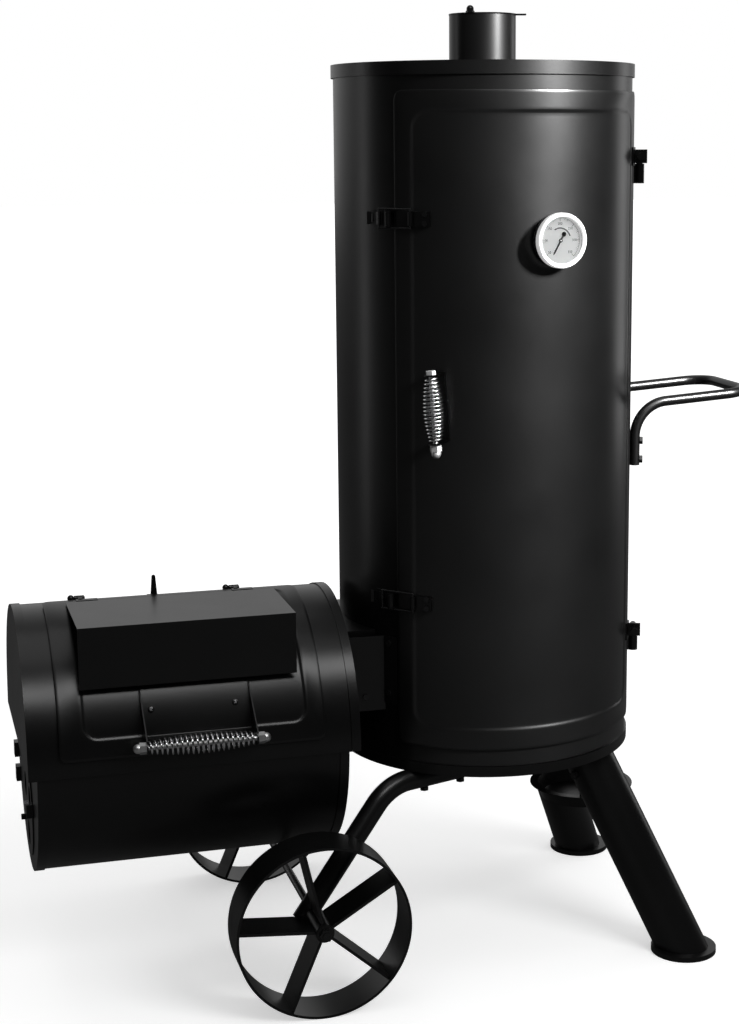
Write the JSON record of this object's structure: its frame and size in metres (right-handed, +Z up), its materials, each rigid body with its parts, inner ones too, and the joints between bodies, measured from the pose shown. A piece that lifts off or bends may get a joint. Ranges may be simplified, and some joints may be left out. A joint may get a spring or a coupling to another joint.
{
  "type": "offset smoker",
  "caption": "Upright charcoal smoker with a tall curved door and a horizontal side firebox on wheels, in satin black steel.",
  "frame": {"origin": "floor level under the centre of the whole object's box", "axes": "+Z up, -Y toward the chamber door, +X toward the push handle, -X toward the firebox"},
  "size_m": [1.0189, 0.5486, 1.2777],
  "materials": {
    "black": "satin",
    "hardware": "satin",
    "chrome": "polished",
    "stainless": "brushed",
    "zinc": "satin",
    "grate": "polished",
    "dial": "matte",
    "pointer": "matte",
    "clear": "polished"
  },
  "bodies": {
    "frame": {"chamber_shell": "black", "chamber_lid": "black", "chamber_base": "black", "chimney_pipe": "black", "damper_bolt": "hardware", "hinge_sockets": "black", "latch_bases": "black", "grate_supports": "black", "push_handle": "black", "handle_pads": "black", "handle_bolts": "hardware", "front_foot_leg": "black", "rear_foot_leg": "black", "front_wheel_leg": "black", "rear_wheel_leg": "black", "wheel_axle": "hardware", "axle_nuts": "hardware", "duct": "black", "duct_saddle": "black", "frame_bolts": "hardware", "firebox_body": "black", "firebox_hood": "black", "hood_hinge_leaves": "black", "lid_hinge_pins": "hardware", "lid_stop": "black", "air_damper_stud": "zinc", "drip_hook": "zinc"},
    "door": {"chamber_door": "black", "door_hinge_pins": "black", "door_hinge_brackets": "black", "door_fasteners": "hardware", "latch_keepers": "black", "door_handle_bracket": "black", "door_handle_rod": "chrome", "door_handle_spring": "chrome", "gauge_case": "stainless", "gauge_bezel": "chrome", "gauge_dial": "dial", "gauge_glass": "clear"},
    "upper_lever": {"upper_latch_lever": "black"},
    "lower_lever": {"lower_latch_lever": "black"},
    "upper_loop": {"upper_latch_loop": "hardware"},
    "lower_loop": {"lower_latch_loop": "hardware"},
    "pointer": {"gauge_pointer": "pointer"},
    "flue_damper": {"chimney_damper": "black"},
    "fire_lid": {"charging_lid": "black", "lid_hinge_leaves": "black", "lid_shelf": "black", "lid_handle_bracket": "black", "lid_handle_rod": "chrome", "lid_handle_spring": "chrome", "lid_screws": "hardware"},
    "air_slide": {"air_damper": "black"},
    "wheel_front": {"front_wheel": "black"},
    "wheel_rear": {"rear_wheel": "black"},
    "grate_low": {"lower_cooking_grate": "grate"},
    "grate_mid": {"middle_cooking_grate": "grate"},
    "grate_high": {"upper_cooking_grate": "grate"},
    "coal_grate": {"charcoal_grate": "grate"},
    "cup": {"drip_cup": "black"}
  },
  "joints": [
    {"name": "door_hinge", "type": "hinge", "parent": "frame", "child": "door", "pos_m": [0.33354, -0.07208, 0.754], "axis": [0, 0, 1], "range_deg": [0, 100]},
    {"name": "upper_latch", "type": "hinge", "parent": "frame", "child": "upper_lever", "pos_m": [-0.03133, -0.12755, 1.0015], "axis": [0, 0, 1], "range_deg": [0, 110]},
    {"name": "lower_latch", "type": "hinge", "parent": "frame", "child": "lower_lever", "pos_m": [-0.03133, -0.12755, 0.5045], "axis": [0, 0, 1], "range_deg": [0, 110]},
    {"name": "upper_loop_hinge", "type": "hinge", "parent": "door", "child": "upper_loop", "pos_m": [-0.0082, -0.15038, 1.0015], "axis": [0, 0, 1], "range_deg": [0, 110]},
    {"name": "lower_loop_hinge", "type": "hinge", "parent": "door", "child": "lower_loop", "pos_m": [-0.0082, -0.15038, 0.5045], "axis": [0, 0, 1], "range_deg": [0, 110]},
    {"name": "gauge_needle", "type": "hinge", "parent": "door", "child": "pointer", "pos_m": [0.16988, -0.21466, 0.9745], "axis": [-0.1582, 0.9874, 0], "range_deg": [0, 250]},
    {"name": "flue_damper_pivot", "type": "hinge", "parent": "frame", "child": "flue_damper", "pos_m": [0.12859, 0.03278, 1.263], "axis": [0, 0, 1], "range_deg": [-100, 100]},
    {"name": "fire_lid_hinge", "type": "hinge", "parent": "frame", "child": "fire_lid", "pos_m": [-0.308, 0.01405, 0.50356], "axis": [-1, 0, 0], "range_deg": [0, 105]},
    {"name": "air_damper_pivot", "type": "hinge", "parent": "frame", "child": "air_slide", "pos_m": [-0.4995, -0.015, 0.235], "axis": [-1, 0, 0], "range_deg": [0, 60]},
    {"name": "front_wheel_bearing", "type": "hinge", "parent": "frame", "child": "wheel_front", "pos_m": [-0.1571, -0.23525, 0.1136], "axis": [0, 1, 0], "continuous": true},
    {"name": "rear_wheel_bearing", "type": "hinge", "parent": "frame", "child": "wheel_rear", "pos_m": [-0.1571, 0.23525, 0.1136], "axis": [0, 1, 0], "continuous": true},
    {"name": "lower_grate_lift", "type": "slide", "parent": "frame", "child": "grate_low", "axis": [0, 0, 1], "range_m": [0, 0.02]},
    {"name": "middle_grate_lift", "type": "slide", "parent": "frame", "child": "grate_mid", "axis": [0, 0, 1], "range_m": [0, 0.02]},
    {"name": "upper_grate_lift", "type": "slide", "parent": "frame", "child": "grate_high", "axis": [0, 0, 1], "range_m": [0, 0.02]},
    {"name": "charcoal_grate_lift", "type": "slide", "parent": "frame", "child": "coal_grate", "axis": [0, 0, 1], "range_m": [0, 0.02]},
    {"name": "drip_cup_swing", "type": "hinge", "parent": "frame", "child": "cup", "pos_m": [0.2855, 0, 0.252], "axis": [-0.3567, -0.9342, 0], "range_deg": [-20, 20]}
  ],
  "couplings": [
    {"joint": "upper_loop_hinge", "follows": "upper_latch", "ratio": 1},
    {"joint": "lower_loop_hinge", "follows": "lower_latch", "ratio": 1}
  ]
}
